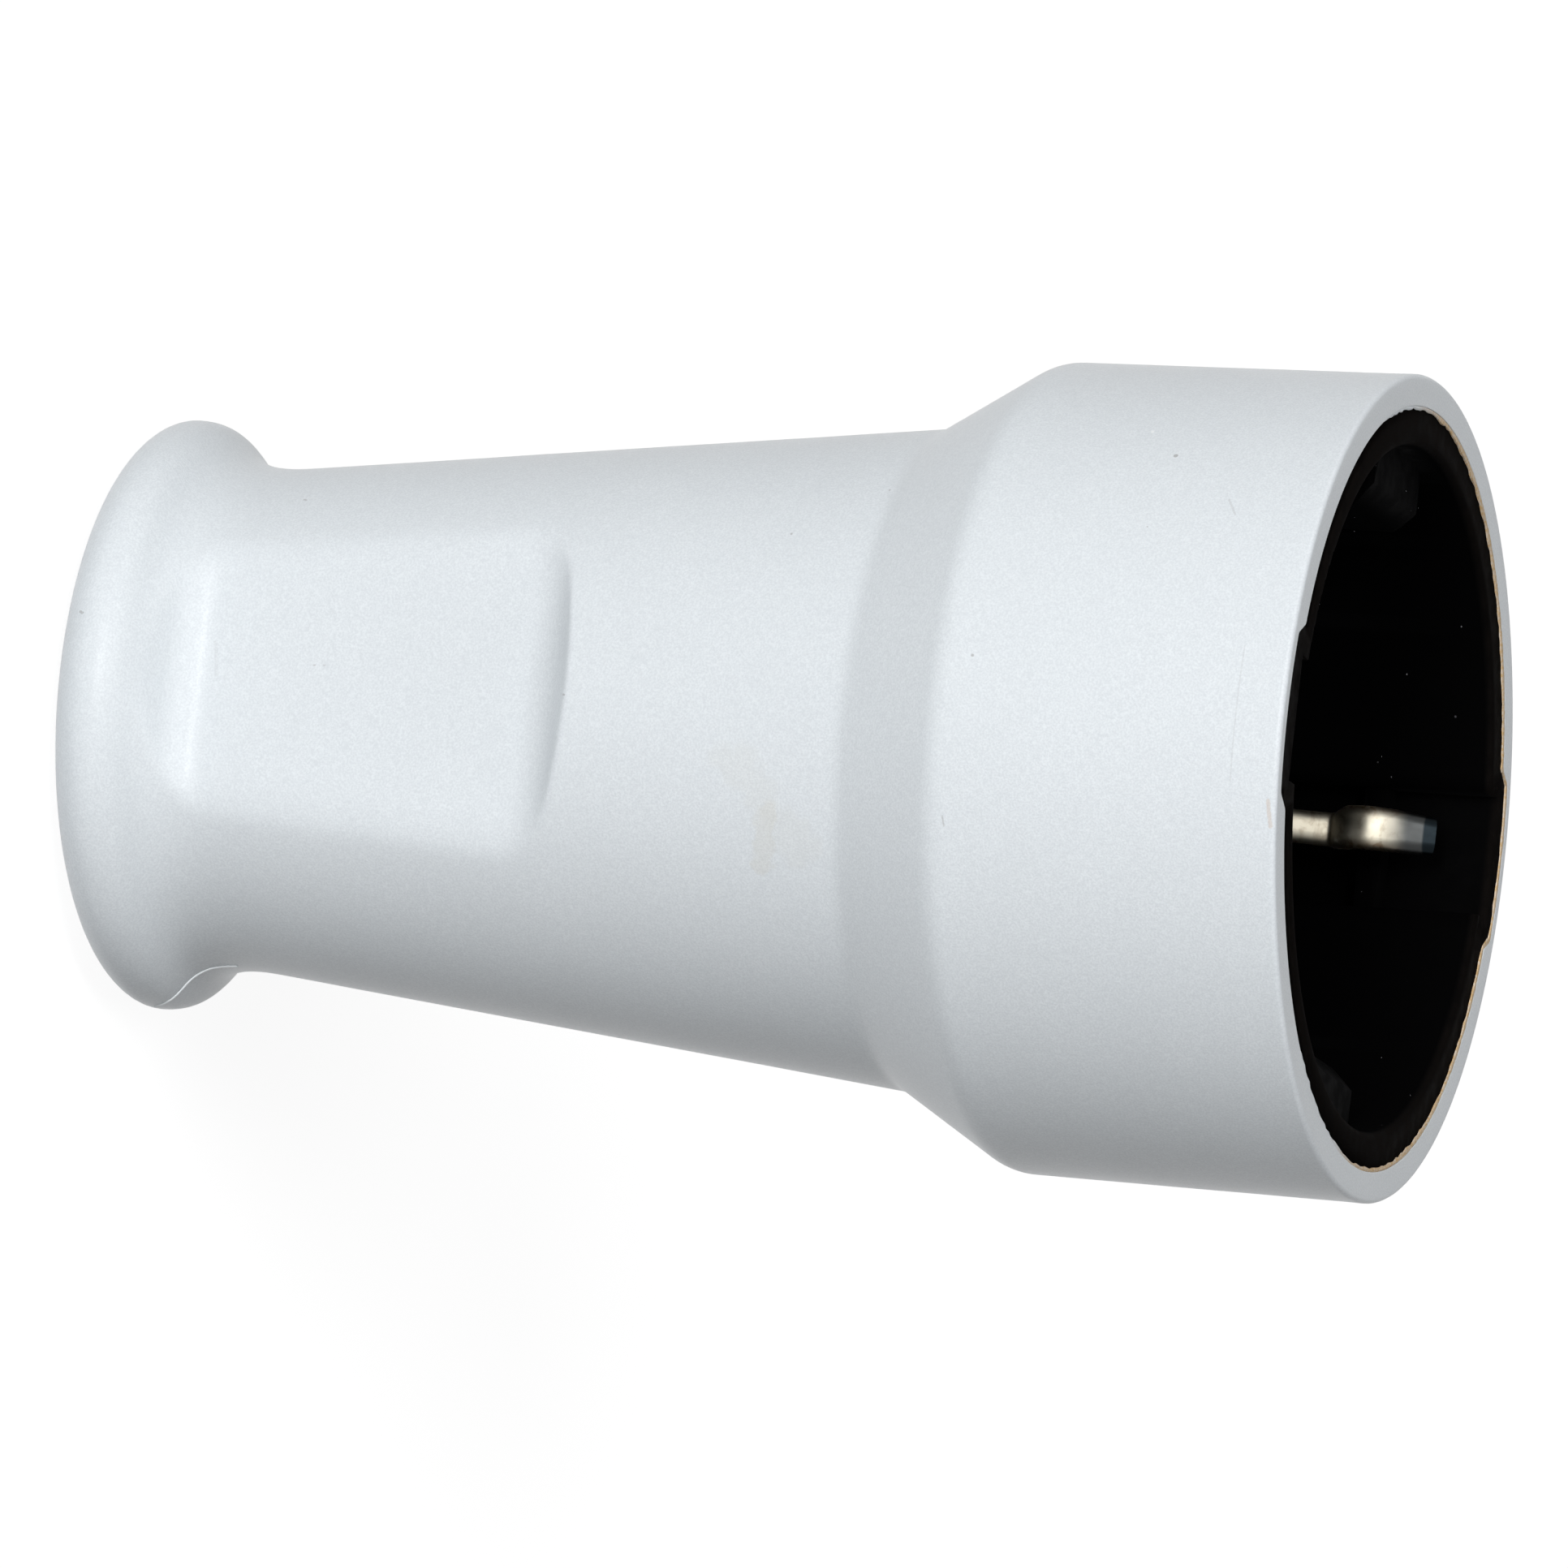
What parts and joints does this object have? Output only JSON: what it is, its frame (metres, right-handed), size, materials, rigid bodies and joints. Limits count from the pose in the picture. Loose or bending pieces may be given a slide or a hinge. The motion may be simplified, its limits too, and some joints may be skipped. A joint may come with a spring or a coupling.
{
  "type": "inline socket connector",
  "caption": "Round inline mains socket: one-piece hood with a flared cable end, sunk finger flats and a wide collar round a black plug well with guide ribs and an earth bow.",
  "frame": {"origin": "centre of the flat rear face at the cable end, on the cord axis", "axes": "+Z along the cord axis from the cable end to the mouth; the plug pins lie on the X axis, the earth arms and the finger flats on the Y axis"},
  "size_m": [0.0476, 0.0476, 0.0768],
  "materials": {
    "hood_plastic": "fine satin, soft moulding",
    "insert_plastic": "satin black moulding",
    "carrier_plastic": "plain dark moulding",
    "saddle_plastic": "plain grey moulding",
    "plated_strip": "nickel plated strip",
    "contact_brass": "turned brass",
    "spring_steel": "bright spring steel",
    "zinc_screw": "zinc plated steel"
  },
  "bodies": {
    "root": {"housing": "hood_plastic", "socket_insert": "insert_plastic", "contact_carrier": "carrier_plastic", "cord_saddle": "saddle_plastic", "cord_cradle": "saddle_plastic", "earth_bow": "plated_strip", "earth_clamp_plate": "zinc_screw", "earth_screw": "zinc_screw", "centre_screw": "zinc_screw", "centre_lockwasher": "spring_steel", "centre_nut": "zinc_screw", "line_contact_left": "contact_brass", "contact_ring_left": "spring_steel", "line_screw_left": "zinc_screw", "cord_screw_left": "zinc_screw", "cord_nut_left": "zinc_screw", "line_contact_right": "contact_brass", "contact_ring_right": "spring_steel", "line_screw_right": "zinc_screw", "cord_screw_right": "zinc_screw", "cord_nut_right": "zinc_screw"}
  },
  "joints": []
}
